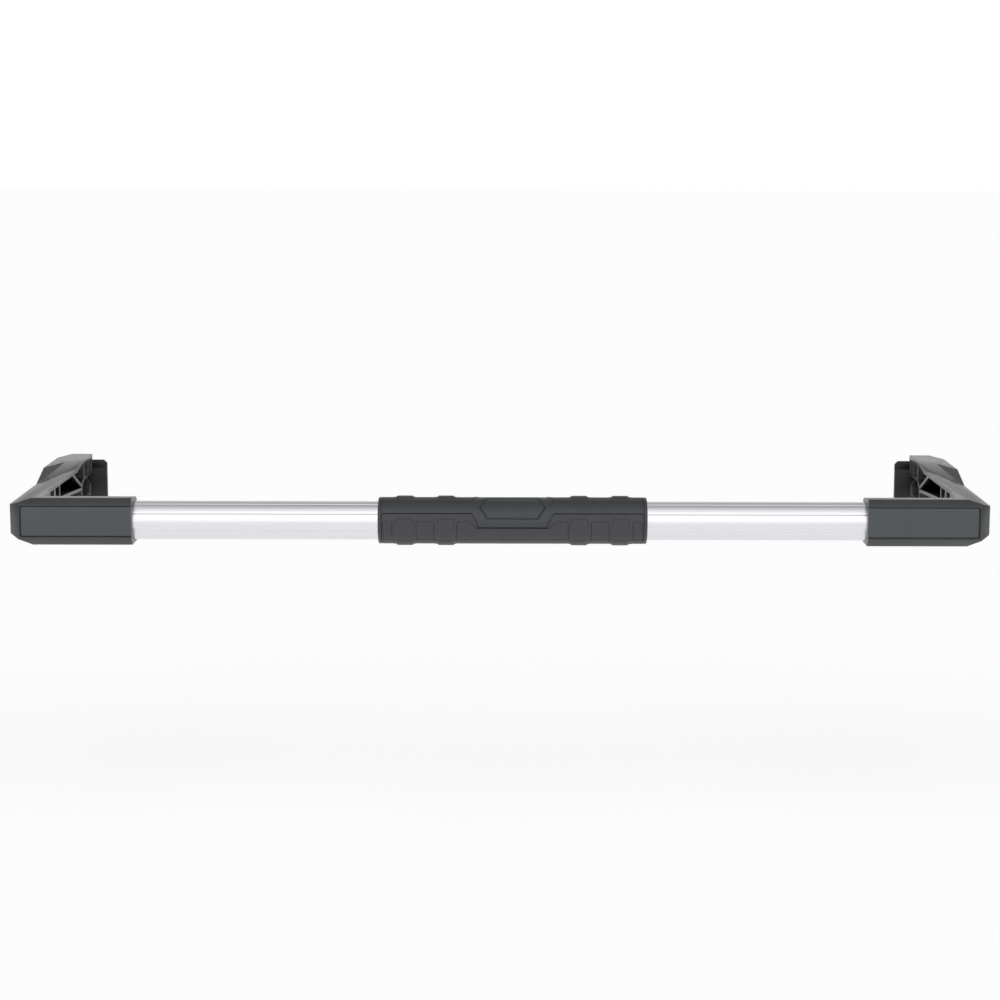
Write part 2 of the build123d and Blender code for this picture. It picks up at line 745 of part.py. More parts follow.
for name, upper in (("grip_upper_pad", True), ("grip_lower_pad", False)):
    with BuildPart() as front_pad:
        ring(grip_left + lip_length, grip_length - 2 * lip_length, core_radius, pad_radius)
        add(raised_blocks())
        keep_half(1)
        with BuildSketch(grip_face):
            outline(*face_outline)
            offset(amount=joint_gap, kind=Kind.INTERSECTION)
        extrude(amount=deep, mode=Mode.SUBTRACT)
        middle = Plane(grip_face.origin, x_dir=grip_face.x_dir, z_dir=grip_face.y_dir)
        split(bisect_by=middle, keep=Keep.TOP if upper else Keep.BOTTOM)
    save(front_pad.part, name)

with BuildPart() as grip_back_pad:
    ring(grip_left + lip_length, grip_length - 2 * lip_length, core_radius, pad_radius)
    add(raised_blocks())
    keep_half(-1)
    with BuildSketch(grip_face):
        with Locations(*lock_spots):
            Circle(lock_screw_head / 2 + screw_hole_clearance)
    extrude(amount=-deep / 2, mode=Mode.SUBTRACT)
save(grip_back_pad.part, "grip_back_pad")

with BuildPart() as grip_lock_screws:
    for spot in lock_spots:
        with BuildSketch(grip_face.offset(-core_radius)):
            with Locations(spot):
                Circle(lock_screw_head / 2)
        extrude(amount=-pad_thickness / 2)
        with BuildSketch(grip_face.offset(-core_radius)):
            with Locations(spot):
                Circle(lock_screw_diameter / 2)
        extrude(amount=tube_radius / 2)
save(grip_lock_screws.part, "grip_lock_screws")

print("box", overall_width, overall_depth, round(hub_height + bar_height, 2))
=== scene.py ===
# %% [markdown]
# # A swing-up carry bar for a tool case
# The real thing is a U-shaped handle: a fluted aluminium tube with a moulded grip, carried by two ribbed
# plastic arms that turn on pins in wall brackets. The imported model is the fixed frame. It gives every piece
# its size and place, and this script gives each one the surface and the finish of the real thing.
# Everything is in metres, and lengths are written as millimetres times MM.

# %% Load the frame
import json
import math

import bmesh
import bpy
from mathutils import Matrix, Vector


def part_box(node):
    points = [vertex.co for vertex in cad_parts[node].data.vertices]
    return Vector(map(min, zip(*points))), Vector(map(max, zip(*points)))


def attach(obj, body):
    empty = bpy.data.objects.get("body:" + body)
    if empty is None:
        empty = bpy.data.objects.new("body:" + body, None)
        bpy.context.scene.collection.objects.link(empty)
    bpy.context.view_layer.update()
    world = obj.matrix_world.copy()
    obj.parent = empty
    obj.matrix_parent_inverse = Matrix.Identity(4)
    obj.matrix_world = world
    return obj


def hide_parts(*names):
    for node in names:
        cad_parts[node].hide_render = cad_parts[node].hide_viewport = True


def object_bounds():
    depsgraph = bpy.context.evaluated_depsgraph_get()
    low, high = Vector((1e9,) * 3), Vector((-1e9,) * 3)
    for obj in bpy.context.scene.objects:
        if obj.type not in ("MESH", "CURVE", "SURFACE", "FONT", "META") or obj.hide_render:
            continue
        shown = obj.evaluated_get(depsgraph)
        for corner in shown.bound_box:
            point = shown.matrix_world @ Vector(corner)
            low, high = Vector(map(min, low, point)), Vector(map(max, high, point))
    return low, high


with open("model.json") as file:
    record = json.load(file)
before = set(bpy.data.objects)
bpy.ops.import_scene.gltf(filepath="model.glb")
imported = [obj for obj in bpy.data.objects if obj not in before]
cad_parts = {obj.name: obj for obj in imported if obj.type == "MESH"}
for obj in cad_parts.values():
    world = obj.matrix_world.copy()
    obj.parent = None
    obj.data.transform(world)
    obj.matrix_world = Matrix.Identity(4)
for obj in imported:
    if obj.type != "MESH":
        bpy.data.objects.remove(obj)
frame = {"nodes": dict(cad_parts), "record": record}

MM = 0.001
nodes = frame["nodes"]
cad_low, cad_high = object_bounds()
tube_low, tube_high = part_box("bar_tube")
axis_y = (tube_low.y + tube_high.y) / 2
axis_z = (tube_low.z + tube_high.z) / 2
tube_radius = (tube_high.y - tube_low.y) / 2
print("box", [round(v / MM, 1) for v in cad_high - cad_low], "tube radius", round(tube_radius / MM, 2))

# %% [markdown]
# ## Writing shader maths as sums
# A material's pattern is arithmetic on sockets. It could be drawn by hand in the shader editor, but then
# nobody can read it here. A small class wraps a socket instead, so that `1 - mask * 0.2` adds the Math
# nodes by itself. A second class holds one material, sets its constant values on the shader's own sockets,
# and makes every other node through one method.

# %% A socket that can be added and multiplied
class Signal:
    def __init__(self, finish, socket):
        self.finish = finish
        self.socket = socket

    def math(self, operation, *others):
        return self.finish.node("ShaderNodeMath", {"operation": operation}, dict(enumerate((self, *others))))

    def __add__(self, other):
        return self.math("ADD", other)

    __radd__ = __add__

    def __mul__(self, other):
        return self.math("MULTIPLY", other)

    __rmul__ = __mul__

    def __sub__(self, other):
        return self.math("SUBTRACT", other)

    def __rsub__(self, other):
        return (self * -1) + other


# %% One material
class Finish:
    def __init__(self, name, colour, roughness, metallic=0.0, specular=0.5):
        self.material = bpy.data.materials.new(name)
        self.material.use_nodes = True
        self.tree = self.material.node_tree
        self.shader = self.tree.nodes["Principled BSDF"]
        self.colour = colour
        self.put(self.shader, "Base Color", (*colour, 1))
        self.put(self.shader, "Roughness", roughness)
        self.put(self.shader, "Metallic", metallic)
        self.put(self.shader, "Specular IOR Level", specular)
        where = self.tree.nodes.new("ShaderNodeTexCoord")
        self.place = Signal(self, where.outputs["Object"])

    def put(self, node, name, value):
        if isinstance(value, Signal):
            self.tree.links.new(value.socket, node.inputs[name])
        else:
            node.inputs[name].default_value = value

    def node(self, kind, settings=None, inputs=None, output=0):
        made = self.tree.nodes.new(kind)
        for key, value in (settings or {}).items():
            setattr(made, key, value)
        for key, value in (inputs or {}).items():
            self.put(made, key, value)
        return Signal(self, made.outputs[output])

    def noise(self, size, detail=2.0, stretch=(1, 1, 1)):
        """Noise whose blobs are about `size` metres across, drawn out along the axes by `stretch`."""
        scale = tuple(1 / (size * s) for s in stretch)
        place = self.node("ShaderNodeMapping", None, {"Vector": self.place, "Scale": scale})
        return self.node("ShaderNodeTexNoise", None, {"Vector": place, "Scale": 1.0, "Detail": detail})

    def tint(self, mask, dark, light):
        """Base colour from `dark` to `light` times the finish's own, as the mask goes from 0 to 1."""
        ends = [tuple(c * k for c in self.colour) + (1,) for k in (dark, light)]
        mixed = self.node("ShaderNodeMix", {"data_type": "RGBA"}, {"Factor": mask}, output=2)
        mix_node = mixed.socket.node
        mix_node.inputs[6].default_value, mix_node.inputs[7].default_value = ends
        self.put(self.shader, "Base Color", mixed)

    def rough(self, signal):
        self.put(self.shader, "Roughness", signal)

    def bump(self, height, depth):
        """Raises the surface by up to `depth` metres where the height signal is 1."""
        bumped = self.node("ShaderNodeBump", None, {"Height": height, "Distance": depth, "Strength": 1.0})
        self.put(self.shader, "Normal", bumped)


# %% [markdown]
# ## The finishes
# The corners, arms and covers are moulded in dark glass-filled plastic. Its skin has a fine spark-eroded
# grain, a slightly cloudy colour, and a sheen that changes a little from place to place. One function makes
# all of these plastics, because they differ only in colour, gloss and grain. The colour is mixed between
# black and a little more than the plastic's own, so that the lightest clouds still lie inside the Mix
# node's range of 0 to 1.

# %% Moulded plastics
cloud_size = 14 * MM
sheen_size = 5 * MM
sheen_swing = 0.06
lightest = 1.25
# Share of the colour that the painted shade takes away inside the arms' channels.
channel_shade_strength = 0.9
coarse_grain = 3.1


def moulded(name, colour, roughness, grain, grain_depth, cloud=0.12, specular=0.5, inside=None):
    finish = Finish(name, colour, roughness, specular=specular)
    clouds = finish.noise(cloud_size, detail=4)
    light = 1 - cloud + clouds * 2 * cloud
    # Painted shade: where the mask is 1, the colour is darkened almost to black.
    if inside:
        light = light * (1 - channel_shade_strength * inside(finish))
    finish.tint(light * (1 / lightest), 0, lightest)
    sheen = finish.noise(sheen_size, detail=3)
    finish.rough(roughness - sheen_swing + sheen * 2 * sheen_swing)
    fine, coarse = finish.noise(grain, detail=3), finish.noise(grain * coarse_grain, detail=2)
    finish.bump(fine + 0.5 * coarse, grain_depth)
    return finish.material


# %% [markdown]
# The arms are open channels. Their outside is grained. Deep inside the channel the colour is darkened almost
# to black: that is painted shade, as the faces there are the same plastic. The thin edges of the ribs keep
# the outside's colour. The arm could be cut into two meshes with a material each, but its node would then no
# longer be one clean body. A mask in the frame's own coordinates tells the two apart instead: it is 1 under
# the top flange, in front of the web, behind the tube socket and a little way in from the open side, which
# slants because the arm tapers.

# %% Painted shade inside the arms
arm_low, arm_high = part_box("right_arm")
arm_width = 18.5 * MM
arm_taper = 2.0 * MM
taper_run = 137.0 * MM
edge_depth = 0.7 * MM
web = 3.0 * MM
web_margin = 0.2 * MM
socket_depth = 30 * MM
top_flange_foot = 12.3 * MM
mask_softness = 0.3 * MM
slant = arm_taper / taper_run
print("arm", round((arm_high.y - arm_low.y) / MM, 1), "long, open side slants", round(slant, 4))


# Mask of the painted shade: 1 deep inside the channel, 0 on the outside and on the ribs' edges.
def channel_shade_mask(finish):
    split = finish.node("ShaderNodeSeparateXYZ", None, {0: finish.place}).socket.node
    x, y, z = (Signal(finish, split.outputs[i]) for i in range(3))
    from_middle = x.math("ABSOLUTE")

    def past(value, limit):
        return finish.node("ShaderNodeMapRange", {"interpolation_type": "SMOOTHSTEP"},
                           {"Value": value, "From Min": limit, "From Max": limit + mask_softness})

    rear_edge = arm_high.x - arm_width + slant * (arm_high.y - arm_low.y)
    deep_in = past(from_middle + (y - arm_low.y) * slant, rear_edge + edge_depth)
    before_web = 1 - past(from_middle, arm_high.x - web + web_margin)
    behind_socket = past(y, arm_low.y + socket_depth)
    under_top = 1 - past(z, axis_z + top_flange_foot)
    return deep_in * before_web * behind_socket * under_top


# The corners' plastic, with painted shade inside the arms' channels.
corner_plastic = moulded(
    "corner_plastic", (0.031, 0.0325, 0.0335), 0.31, 0.35 * MM, 0.012 * MM, inside=channel_shade_mask
)

# %% [markdown]
# The covers are a bluer and lighter grey than the corners that they sit in, and the brackets are nearly
# black with less shine. The grip's shells match the covers but are darker. The bushes are natural nylon, so
# they are pale, and the plugs are a plain black moulding that nobody sees. All of them come from the same
# function.

# %% The other plastics
cover_plastic = moulded("cover_plastic", (0.050, 0.060, 0.064), 0.33, 0.30 * MM, 0.008 * MM)
bracket_plastic = moulded(
    "bracket_plastic", (0.011, 0.011, 0.0115), 0.42, 0.40 * MM, 0.014 * MM, specular=0.35
)
grip_plastic = moulded("grip_plastic", (0.030, 0.035, 0.038), 0.34, 0.30 * MM, 0.008 * MM)
bush_plastic = moulded("bush_plastic", (0.55, 0.54, 0.50), 0.45, 0.30 * MM, 0.004 * MM, cloud=0.04)
plug_plastic = moulded("plug_plastic", (0.03, 0.03, 0.03), 0.55, 0.40 * MM, 0.020 * MM)
plastics = (corner_plastic, cover_plastic, bracket_plastic, grip_plastic, bush_plastic, plug_plastic)
print("plastics", [plastic.name for plastic in plastics])

# %% [markdown]
# The soft parts of the grip are thermoplastic rubber. It scatters more light than the hard plastic and has
# less gloss, so its roughness is higher and its specular level lower. Its grain is finer, and its colour
# clouds a little less. A Sheen layer would be another way to get a soft look, and this one needs fewer
# settings.

# %% Soft rubber
rubber_colour = (0.044, 0.0448, 0.048)
grip_rubber = moulded("grip_rubber", rubber_colour, 0.50, 0.22 * MM, 0.012 * MM, cloud=0.10, specular=0.4)

# %% [markdown]
# The tube is drawn and then anodised. Drawing leaves hair-thin lines along its length. They come from noise
# that is squeezed across the tube and drawn out 400 times along it, which gives both the streaks in the
# gloss and the tiny ridges that widen the highlights. An Anisotropic value on the shader would widen them
# too, but it draws no lines.

# %% Drawn aluminium
streak_width, streak_stretch = 0.35 * MM, (400, 1, 1)
band_width, band_stretch = 2.2 * MM, (250, 1, 1)
handling_size = 30 * MM


def drawn_aluminium():
    finish = Finish("bar_aluminium", (0.79, 0.785, 0.82), 0.24, metallic=1.0)
    streaks = finish.noise(streak_width, detail=3, stretch=streak_stretch)
    bands = finish.noise(band_width, detail=2, stretch=band_stretch)
    finish.tint(streaks * 0.6 + bands * 0.4, 0.90, 1.08)
    handling = finish.noise(handling_size, detail=3)
    finish.rough(0.16 + streaks * 0.12 + handling * 0.06)
    finish.bump(streaks, 0.004 * MM)
    return finish.material


bar_aluminium = drawn_aluminium()


# %% [markdown]
# Pins, clips and washers are blacked steel, and the screws under the covers are zinc plated. Both are metal
# with a blotchy coating, so one function serves them.

# %% Coated steels
blotch_size = 1.8 * MM
pitting_size = 0.15 * MM


def coated_steel(name, colour, roughness):
    finish = Finish(name, colour, roughness, metallic=0.9)
    blotches = finish.noise(blotch_size, detail=5)
    finish.tint(blotches, 0.75, 1.25)
    finish.rough(roughness - 0.08 + blotches * 0.2)
    finish.bump(finish.noise(pitting_size, detail=2), 0.004 * MM)
    return finish.material


dark_steel = coated_steel("dark_steel", (0.06, 0.06, 0.065), 0.38)
screw_steel = coated_steel("screw_steel", (0.60, 0.60, 0.58), 0.34)

finishes = {
    "corner_plastic": corner_plastic,
    "cover_plastic": cover_plastic,
    "bracket_plastic": bracket_plastic,
    "grip_plastic": grip_plastic,
    "grip_rubber": grip_rubber,
    "bush_plastic": bush_plastic,
    "plug_plastic": plug_plastic,
    "bar_aluminium": bar_aluminium,
    "dark_steel": dark_steel,
    "screw_steel": screw_steel,
}
slot_of = {entry["node"]: entry["material_slot"] for entry in frame["record"]["subparts"]}


def dress(piece, node_name):
    """Gives a piece the finish that the record names for a node."""
    piece.data.materials.clear()
    piece.data.materials.append(finishes[slot_of[node_name]])


for name, node in nodes.items():
    dress(node, name)
print("finishes", len(finishes))


# %% [markdown]
# ## Soft edges on the moulded parts
# A mould never leaves a knife edge. The frame's arms and brackets have sharp ones, because they are loose
# triangles cut from flat faces. A Bevel node in the material could fake the rounding in the shading, but
# the outline would stay sharp. So a copy of each is welded, its flat areas are joined into single faces,
# and a Bevel modifier rounds every edge that turns sharply. The copy then stands for the frame's own node.

# %% Rounded copies
weld_reach = 0.002 * MM
flat_angle = math.radians(0.5)
edge_radius = 0.35 * MM
bevel_from = math.radians(28)
crisp_from = 34


def rounded_copy(node_name):
    source = nodes[node_name]
    mesh = source.data.copy()
    mesh.name = f"{node_name}_rounded"
    work = bmesh.new()
    work.from_mesh(mesh)
    bmesh.ops.remove_doubles(work, verts=work.verts, dist=weld_reach)
    bmesh.ops.dissolve_limit(work, angle_limit=flat_angle, verts=work.verts, edges=work.edges)
    work.to_mesh(mesh)
    work.free()
    piece = bpy.data.objects.new(f"{node_name}_moulding", mesh)
    bpy.context.scene.collection.objects.link(piece)
    bevel = piece.modifiers.new("round", "BEVEL")
    bevel.width = edge_radius
    bevel.segments = 2
    bevel.limit_method = "ANGLE"
    bevel.angle_limit = bevel_from
    settle(piece)
    shade_by_angle(piece, crisp_from)
    return piece


def settle(piece):
    """Applies the piece's modifiers, so that a plain mesh is left."""
    evaluated = piece.evaluated_get(bpy.context.evaluated_depsgraph_get())
    mesh = bpy.data.meshes.new_from_object(evaluated)
    piece.modifiers.clear()
    piece.data = mesh


def shade_by_angle(piece, degrees):
    """Smooth shading, with edges that turn more than this many degrees left crisp."""
    piece.data.shade_smooth()
    piece.data.set_sharp_from_angle(angle=math.radians(degrees))


def stand_for(piece, node_name):
    """The piece takes the place of a frame node: its body and its finish."""
    dress(piece, node_name)
    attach(piece, body_of_node[node_name])
    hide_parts(node_name)
    return piece


body_of_node = {
    name: body for body, members in frame["record"]["behaviour"]["bodies"].items() for name in members
}
for name in ("left_arm", "left_bracket", "right_arm", "right_bracket"):
    piece = stand_for(rounded_copy(name), name)
    print(name, len(piece.data.polygons), "faces")

# %% [markdown]
# The cover on a corner is not quite flat. Its face has a faint crown, so that it does not look sunken, and
# its upper edge and its outer end roll over into the groove round it, as its lower edge does a little less.
# A bevel can round an edge but can't crown a face, so a grid over the cover's box gives the shape: each
# point's distance to the rolled edges sets how far it drops. The pegs behind it stay as the frame has them,
# in the same object, so the piece still clips into the corner. The frame's own plate is taken off them, and
# the holes that it leaves are closed.

# %% Rolled covers
cover_roll = 1.1 * MM
cover_roll_drop = 0.55 * MM
cover_crown = 0.12 * MM
cover_skin = 1.5 * MM
cover_corner = 1.05 * MM
lower_roll = 0.6
cover_steps = (150, 48)
peg_margin = 0.01 * MM
crisp_angle = 40


def cover_drop(from_low, from_high, from_end):
    """How far the face falls back, from the distances to its lower, upper and outer edges."""
    across = from_low / (from_low + from_high)
    crown = cover_crown * (2 * across - 1) ** 2
    nearest = min(from_high, from_end)
    if from_high < cover_roll and from_end < cover_roll:
        nearest = cover_roll - math.hypot(cover_roll - from_high, cover_roll - from_end)
    t = min(max(1 - nearest / cover_roll, 0.0), 1.0)
    u = min(max(1 - from_low / (lower_roll * cover_roll), 0.0), 1.0)
    return crown + cover_roll_drop * (t * t) + lower_roll * cover_roll_drop * (u * u)


def cover_plate(low, high, outward):
    """The plate without its pegs. Its outer end has round corners, so its columns get shorter there."""
    length, height = high.x - low.x, high.z - low.z
    work = bmesh.new()
    steps_x, steps_z = cover_steps
    front, back = [], []
    for i in range(steps_x + 1):
        along = length * i / steps_x
        x = low.x + along if outward > 0 else high.x - along
        from_end = length - along
        cut = cover_corner - math.sqrt(max(cover_corner**2 - max(cover_corner - from_end, 0.0) ** 2, 0.0))
        column_front, column_back = [], []
        for j in range(steps_z + 1):
            up = cut + (height - 2 * cut) * j / steps_z
            drop = cover_drop(up, height - up, from_end)
            column_front.append(work.verts.new((x, low.y + drop, low.z + up)))
            column_back.append(work.verts.new((x, low.y + cover_skin, low.z + up)))
        front.append(column_front)
        back.append(column_back)
    for i in range(steps_x):
        for j in range(steps_z):
            work.faces.new((front[i][j], front[i + 1][j], front[i + 1][j + 1], front[i][j + 1]))
            work.faces.new((back[i][j], back[i][j + 1], back[i + 1][j + 1], back[i + 1][j]))
        for j in (0, steps_z):
            work.faces.new((front[i][j], front[i + 1][j], back[i + 1][j], back[i][j]))
    for j in range(steps_z):
        for i in (0, steps_x):
            work.faces.new((front[i][j], front[i][j + 1], back[i][j + 1], back[i][j]))
    bmesh.ops.recalc_face_normals(work, faces=work.faces)
    return work


def cover_pegs(node_name, behind):
    """Mesh of what stands behind the plate, closed where the plate was."""
    pegs = bmesh.new()
    pegs.from_mesh(nodes[node_name].data)
    bmesh.ops.remove_doubles(pegs, verts=pegs.verts, dist=weld_reach)
    plate = [f for f in pegs.faces if all(v.co.y < behind for v in f.verts)]
    bmesh.ops.delete(pegs, geom=plate, context="FACES")
    bmesh.ops.holes_fill(pegs, edges=[e for e in pegs.edges if e.is_boundary])
    mesh = bpy.data.meshes.new("pegs")
    pegs.to_mesh(mesh)
    pegs.free()
    return mesh


def rolled_cover(node_name, outward):
    low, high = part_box(node_name)
    work = cover_plate(low, high, outward)
    work.from_mesh(cover_pegs(node_name, low.y + cover_skin + peg_margin))
    mesh = bpy.data.meshes.new(f"{node_name}_rolled")
    work.to_mesh(mesh)
    work.free()
    piece = bpy.data.objects.new(f"{node_name}_moulding", mesh)
    bpy.context.scene.collection.objects.link(piece)
    shade_by_angle(piece, crisp_angle)
    return stand_for(piece, node_name)


for side, outward in (("left", -1), ("right", 1)):
    cover = rolled_cover(f"{side}_corner_cover", outward)
    print(cover.name, len(cover.data.polygons), "faces")

# %% [markdown]
# ## The fluted tube
# The tube is drawn through a die, so it is a rule: a circle with eight shallow flutes, two in each quarter,
# carried straight along the bar. Mesh code could do it too, but in Geometry Nodes the length, the radius
# and the flutes stay named inputs. The tree starts from a cylinder's side, and lowers each point's radius
# near a flute's angle.

# %% A tree with named inputs
def new_tree(name, inputs):
    """Geometry tree with named number inputs: the tree, its input node and the inputs' identifiers."""
    tree = bpy.data.node_groups.new(name, "GeometryNodeTree")
    ids = {}
    for label, value in inputs.items():
        socket = tree.interface.new_socket(label, in_out="INPUT", socket_type="NodeSocketFloat")
        socket.default_value = value
        ids[label] = socket.identifier
    tree.interface.new_socket("Geometry", in_out="OUTPUT", socket_type="NodeSocketGeometry")
    return tree, tree.nodes.new("NodeGroupInput"), ids


def add_node(tree, kind, settings=None, inputs=None):
    """Node with its settings made first, then its inputs given values or linked to sockets."""
    made = tree.nodes.new(kind)
    for key, value in (settings or {}).items():
        setattr(made, key, value)
    for key, value in (inputs or {}).items():
        if isinstance(value, bpy.types.NodeSocket):
            tree.links.new(value, made.inputs[key])
        else:
            made.inputs[key].default_value = value
    return made


def calc(tree, operation, *values):
    """One Math node on values or sockets."""
    return add_node(tree, "ShaderNodeMath", {"operation": operation}, dict(enumerate(values))).outputs[0]


# %% Sizes of the tube
tube_length = tube_high.x - tube_low.x
tube_wall = 1.5 * MM
flute_floor = 0.8
flute_softness = 0.3
flute_crisp_from = 30
tube_inputs = {
    "Length": tube_length,
    "Radius": tube_radius,
    "Flute angle": math.radians(29),
    "Upper flute angle": math.radians(62),
    "Flute half angle": math.radians(3.6),
    "Flute depth": 0.35 * MM,
}
print("tube", round(tube_length / MM, 1), "long, flutes", tube_inputs["Flute depth"] / MM, "deep")

# %% [markdown]
# A flute is deepest at its own angle and runs out to nothing at its half angle. The tree first works out
# how far each point is from the nearer flute, as a number that is 1 at the flute's middle and 0 outside it.
# A smooth minimum then flattens that peak into a rounded floor, and the depth turns it into a smaller
# radius.

# %% The tube's tree
tube_tree, given, tube_ids = new_tree("fluted_tube", tube_inputs)
cylinder = add_node(
    tube_tree,
    "GeometryNodeMeshCylinder",
    {"fill_type": "NONE"},
    {
        "Vertices": 360,
        "Side Segments": 48,
        "Radius": given.outputs["Radius"],
        "Depth": given.outputs["Length"],
    },
)
position = add_node(tube_tree, "GeometryNodeInputPosition")
split = add_node(tube_tree, "ShaderNodeSeparateXYZ", None, {0: position.outputs[0]})
across = calc(tube_tree, "ABSOLUTE", split.outputs["X"])
up = calc(tube_tree, "ABSOLUTE", split.outputs["Y"])
angle = calc(tube_tree, "ARCTAN2", up, across)
to_lower = calc(tube_tree, "SUBTRACT", angle, given.outputs["Flute angle"])
to_upper = calc(tube_tree, "SUBTRACT", angle, given.outputs["Upper flute angle"])
off = calc(tube_tree, "MINIMUM", calc(tube_tree, "ABSOLUTE", to_lower), calc(tube_tree, "ABSOLUTE", to_upper))
share = calc(tube_tree, "DIVIDE", off, given.outputs["Flute half angle"])
near = calc(tube_tree, "MAXIMUM", calc(tube_tree, "SUBTRACT", 1.0, share), 0.0)
rounded = calc(tube_tree, "SMOOTH_MIN", near, flute_floor, flute_softness)
dip = calc(tube_tree, "MULTIPLY", rounded, given.outputs["Flute depth"])
shrink = calc(tube_tree, "SUBTRACT", 1.0, calc(tube_tree, "DIVIDE", dip, given.outputs["Radius"]))
sunk = add_node(
    tube_tree,
    "ShaderNodeCombineXYZ",
    None,
    {
        "X": calc(tube_tree, "MULTIPLY", split.outputs["X"], shrink),
        "Y": calc(tube_tree, "MULTIPLY", split.outputs["Y"], shrink),
        "Z": split.outputs["Z"],
    },
)
fluted = add_node(
    tube_tree,
    "GeometryNodeSetPosition",
    None,
    {"Geometry": cylinder.outputs["Mesh"], "Position": sunk.outputs[0]},
)
real = add_node(tube_tree, "GeometryNodeRealizeInstances", None, {"Geometry": fluted.outputs[0]})
coated = add_node(
    tube_tree, "GeometryNodeSetMaterial", None, {"Geometry": real.outputs[0], "Material": bar_aluminium}
)
result = tube_tree.nodes.new("NodeGroupOutput")
tube_tree.links.new(coated.outputs[0], result.inputs["Geometry"])
print("tree", len(tube_tree.nodes), "nodes")

# %% [markdown]
# The tree only makes the outer skin, standing upright. It is turned into a plain mesh, a Solidify modifier
# gives it the tube's wall towards the inside, and the mesh is laid down along the bar.

# %% From tree to plain mesh
def grow(name, tree, ids, inputs):
    """Object whose mesh is what the tree makes from these inputs, with no modifier left on it."""
    holder = bpy.data.objects.new(name, bpy.data.meshes.new(name))
    bpy.context.scene.collection.objects.link(holder)
    growth = holder.modifiers.new("growth", "NODES")
    growth.node_group = tree
    for label, value in inputs.items():
        growth[ids[label]] = value
    settle(holder)
    return holder


bar = grow("bar_tube_surface", tube_tree, tube_ids, tube_inputs)
wall = bar.modifiers.new("wall", "SOLIDIFY")
wall.thickness = tube_wall
wall.offset = -1
settle(bar)
to_place = Matrix.Translation(((tube_low.x + tube_high.x) / 2, axis_y, axis_z))
lay_down = Matrix.Rotation(math.pi / 2, 4, "Y") @ Matrix.Rotation(math.pi / 2, 4, "Z")
bar.data.transform(to_place @ lay_down)
shade_by_angle(bar, flute_crisp_from)
stand_for(bar, "bar_tube")
print("tube", len(bar.data.polygons), "faces")

# %% [markdown]
# ## The grip
# The grip is a body of revolution that has been sculpted: a hard face that looks up and forward, soft skins
# above and below it, raised blocks for the fingers, and fine joints between them. It could be sculpted from
# a subdivided box, but then its pieces would not share their edges. So each piece is a patch on a cylinder,
# laid out as columns along the bar and rows round it. The rows bend with the piece's own edge, so that a
# joint stays a clean line. A height function then moves each point in or out, and a second, inner layer
# closes the patch.

# %% Sizes of the grip
grip_low, grip_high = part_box("grip_front_shell")
grip_length = grip_high.x - grip_low.x
grip_middle = (grip_high.x + grip_low.x) / 2
half_grip = grip_length / 2
face_angle = math.radians(45)
quarter_turn = math.pi / 2
shell_bore = tube_radius + 0.05 * MM
core_radius = tube_radius + 1.2 * MM
pad_radius = core_radius + 1.15 * MM
hard_radius = pad_radius - 0.10 * MM
block_radius = pad_radius + 0.75 * MM
lip = 2.0 * MM
joint = 0.10 * MM
column_step = 0.22 * MM
print("grip", round(grip_length / MM, 1), "long, middle at", round(grip_middle / MM, 1))


# %% Patches on a cylinder
def ease(t):
    """Smooth step from 0 to 1."""
    t = min(max(t, 0.0), 1.0)
    return t * t * (3 - 2 * t)


def between(a, b, t):
    return a + (b - a) * t


def round_axis(x, angle, radius):
    """Point at this place along the bar. The angle is counted up from the level, at the front."""
    return (grip_middle + x, axis_y - radius * math.cos(angle), axis_z + radius * math.sin(angle))


def constant(value):
    return lambda *_: value


def patch(work, start, end, low_edge, high_edge, rows, outer, inner, columns=None):
    """Closed patch from start to end along the bar, between two edges round it that are functions of x."""
    columns = columns or max(2, round((end - start) / column_step))
    layers = []
    for height in (outer, inner):
        grid = []
        for i in range(columns + 1):
            x = between(start, end, i / columns)
            low, high = low_edge(x), high_edge(x)
            angles = [between(low, high, j / rows) for j in range(rows + 1)]
            grid.append([work.verts.new(round_axis(x, a, height(x, a))) for a in angles])
        layers.append(grid)
    top, under = layers
    for i in range(columns):
        for j in range(rows):
            work.faces.new((top[i][j], top[i][j + 1], top[i + 1][j + 1], top[i + 1][j]))
            work.faces.new((under[i][j], under[i + 1][j], under[i + 1][j + 1], under[i][j + 1]))
    for i in range(columns):
        for j in (0, rows):
            work.faces.new((top[i][j], top[i + 1][j], under[i + 1][j], under[i][j]))
    for j in range(rows):
        for i in (0, columns):
            work.faces.new((top[i][j], under[i][j], under[i][j + 1], top[i][j + 1]))


def finish_patches(name, work, node_name):
    """Turns patches into one object that stands for a frame node."""
    bmesh.ops.recalc_face_normals(work, faces=work.faces)
    mesh = bpy.data.meshes.new(name)
    work.to_mesh(mesh)
    work.free()
    piece = bpy.data.objects.new(name, mesh)
    bpy.context.scene.collection.objects.link(piece)
    shade_by_angle(piece, crisp_angle)
    stand_for(piece, node_name)
    print(name, len(mesh.polygons), "faces")
    return piece


# %% [markdown]
# The hard face is a narrow band that widens into a shield in the middle. Its half height, measured flat
# across the face, is one function of the distance from the middle, and the angle of its edge follows from
# it. The soft skins use the same function for their own edges, so the joint between them is even all the
# way. A cut with a Boolean modifier would leave thin triangles along that joint.

# %% The edge of the hard face
band_half = 4.2 * MM
shield_half = 10.8 * MM
shield_reach = 19.1 * MM
shield_slant = 4.1 * MM
slant_softness = 0.35
outer_corner = 1.5 * MM
print("shield", round(2 * (shield_reach + shield_slant) / MM, 1), "x", round(2 * shield_half / MM, 1))


def soft_edge(distance, drop, reach):
    """How far a surface has fallen at this distance inside its edge, as a quarter round."""
    t = min(max(1 - distance / reach, 0.0), 1.0)
    return drop * (1 - math.sqrt(1 - t * t))


